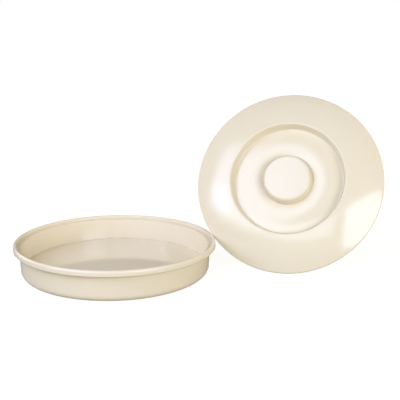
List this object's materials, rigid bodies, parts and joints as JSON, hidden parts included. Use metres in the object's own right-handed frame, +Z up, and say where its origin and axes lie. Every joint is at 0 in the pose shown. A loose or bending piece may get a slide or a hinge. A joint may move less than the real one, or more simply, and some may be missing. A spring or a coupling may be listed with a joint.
{
  "type": "tortilla warmer",
  "caption": "Round moulded tortilla warmer: a shallow base with a rolled rim and a loose domed lid with a moulded knob in a finger well.",
  "frame": {"origin": "centre of the base, on the table that its foot ring stands on", "axes": "+Z up along the base's axis; the lid stands to the +X side, faces -Y and leans back towards +Y"},
  "size_m": [0.349, 0.2193, 0.1675],
  "materials": {
    "base_melamine": "glossy moulded melamine, ivory",
    "lid_melamine": "glossy moulded melamine, ivory"
  },
  "bodies": {
    "base": {"base": "base_melamine"},
    "lid": {"lid": "lid_melamine"}
  },
  "joints": [
    {"name": "lid_lift", "type": "slide", "parent": "base", "child": "lid", "axis": [0, 0, 1], "range_m": [0, 0.15]}
  ]
}
